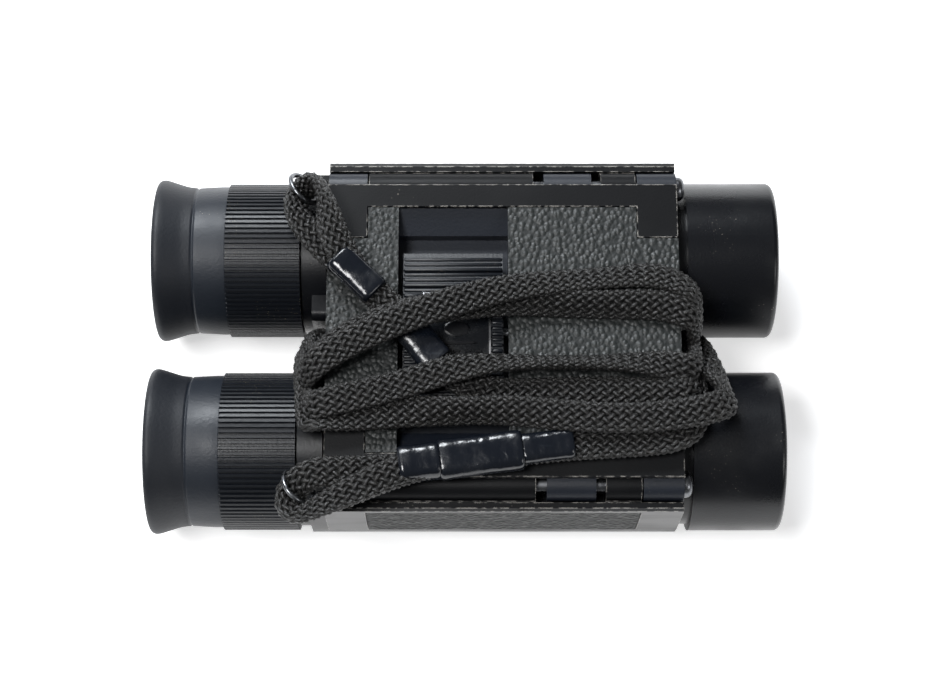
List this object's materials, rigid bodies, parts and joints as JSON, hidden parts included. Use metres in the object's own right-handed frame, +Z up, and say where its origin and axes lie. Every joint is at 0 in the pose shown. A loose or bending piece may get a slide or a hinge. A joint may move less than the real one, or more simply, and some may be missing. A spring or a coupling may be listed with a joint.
{
  "type": "compact folding binoculars",
  "caption": "Compact double-hinge binoculars, folded, with a focus rocker on the bridge and a braided neck cord wound round it.",
  "frame": {"origin": "on the resting surface, under the middle of the outline", "axes": "+X towards the objectives, +Y the user's left, +Z up"},
  "size_m": [0.1122, 0.0676, 0.0377],
  "materials": {
    "black_casting": "gloss",
    "black_plate": "satin",
    "steel": "satin",
    "leatherette": "matte",
    "silver_trim": "satin",
    "ribbed_plastic": "matte",
    "gloss_black": "gloss",
    "inner_black": "matte",
    "coated_glass": "gloss",
    "soft_rubber": "matte",
    "braided_cord": "matte",
    "cord_fittings": "gloss"
  },
  "bodies": {
    "bridge": {"bridge_chassis": "black_casting", "bridge_base_plate": "black_plate", "base_plate_screws": "steel", "left_edge_plate": "black_plate", "right_edge_plate": "black_plate", "rear_leatherette": "leatherette", "front_leatherette": "leatherette", "left_hinge_pin": "steel", "right_hinge_pin": "steel", "left_strap_lug": "black_plate", "right_strap_lug": "black_plate", "left_strap_ring": "steel", "right_strap_ring": "steel", "rocker_pin": "steel", "carriage_guide_rods": "steel", "cord_coil": "braided_cord", "left_cord_tail": "braided_cord", "right_cord_tail": "braided_cord", "left_cord_sleeve": "cord_fittings", "right_cord_keeper": "cord_fittings", "right_cord_sleeves": "cord_fittings"},
    "rocker": {"focus_rocker": "ribbed_plastic", "rocker_badge": "silver_trim", "focus_screw": "steel"},
    "carriage": {"focus_carriage": "black_plate"},
    "left_barrel": {"left_prism_housing": "black_casting", "left_hinge_leaf": "black_plate", "left_side_plate": "silver_trim", "left_side_leatherette": "leatherette", "left_objective_tube": "gloss_black", "left_objective_lens": "coated_glass", "left_objective_retainer": "inner_black", "left_front_prism": "coated_glass", "left_rear_prism": "coated_glass", "left_eyepiece_tube": "inner_black", "left_eyecup": "soft_rubber"},
    "left_focus_group": {"left_focus_cell": "inner_black", "left_focus_lens": "coated_glass"},
    "left_dioptre": {"left_dioptre_ring": "ribbed_plastic"},
    "left_ocular": {"left_ocular_cell": "inner_black", "left_field_lens": "coated_glass", "left_eye_lens": "coated_glass"},
    "right_barrel": {"right_prism_housing": "black_casting", "right_hinge_leaf": "black_plate", "right_side_plate": "silver_trim", "right_side_leatherette": "leatherette", "right_objective_tube": "gloss_black", "right_objective_lens": "coated_glass", "right_objective_retainer": "inner_black", "right_front_prism": "coated_glass", "right_rear_prism": "coated_glass", "right_eyepiece_tube": "inner_black", "right_eyecup": "soft_rubber"},
    "right_focus_group": {"right_focus_cell": "inner_black", "right_focus_lens": "coated_glass"},
    "right_dioptre": {"right_dioptre_ring": "ribbed_plastic"},
    "right_ocular": {"right_ocular_cell": "inner_black", "right_field_lens": "coated_glass", "right_eye_lens": "coated_glass"}
  },
  "joints": [
    {"name": "focus_travel", "type": "slide", "parent": "bridge", "child": "carriage", "axis": [1, 0, 0], "range_m": [-0.0015, 0.0015]},
    {"name": "rocker_turn", "type": "hinge", "parent": "bridge", "child": "rocker", "pos_m": [0, 0, 0.0284], "axis": [1, 0, 0], "range_deg": [-7, 7]},
    {"name": "left_fold", "type": "hinge", "parent": "bridge", "child": "left_barrel", "pos_m": [0, 0.0273, 0.0279], "axis": [1, 0, 0], "range_deg": [0, 70]},
    {"name": "left_focus_slide", "type": "slide", "parent": "left_barrel", "child": "left_focus_group", "axis": [1, 0, 0], "range_m": [-0.0016, 0.0016]},
    {"name": "left_ocular_travel", "type": "slide", "parent": "left_barrel", "child": "left_ocular", "axis": [1, 0, 0], "range_m": [-0.001, 0.001]},
    {"name": "left_dioptre_turn", "type": "hinge", "parent": "left_barrel", "child": "left_dioptre", "pos_m": [-0.036, 0.0181, 0.015], "axis": [1, 0, 0], "range_deg": [-60, 60]},
    {"name": "right_fold", "type": "hinge", "parent": "bridge", "child": "right_barrel", "pos_m": [0, -0.0273, 0.0279], "axis": [-1, 0, 0], "range_deg": [0, 70]},
    {"name": "right_focus_slide", "type": "slide", "parent": "right_barrel", "child": "right_focus_group", "axis": [1, 0, 0], "range_m": [-0.0016, 0.0016]},
    {"name": "right_ocular_travel", "type": "slide", "parent": "right_barrel", "child": "right_ocular", "axis": [1, 0, 0], "range_m": [-0.001, 0.001]},
    {"name": "right_dioptre_turn", "type": "hinge", "parent": "right_barrel", "child": "right_dioptre", "pos_m": [-0.036, -0.0181, 0.015], "axis": [1, 0, 0], "range_deg": [-60, 60]}
  ],
  "couplings": [
    {"joint": "rocker_turn", "follows": "focus_travel", "rad_per_m": 80},
    {"joint": "left_focus_slide", "follows": "focus_travel", "ratio": 1},
    {"joint": "left_dioptre_turn", "follows": "left_ocular_travel", "rad_per_m": -1000},
    {"joint": "right_focus_slide", "follows": "focus_travel", "ratio": 1},
    {"joint": "right_dioptre_turn", "follows": "right_ocular_travel", "rad_per_m": -1000}
  ]
}
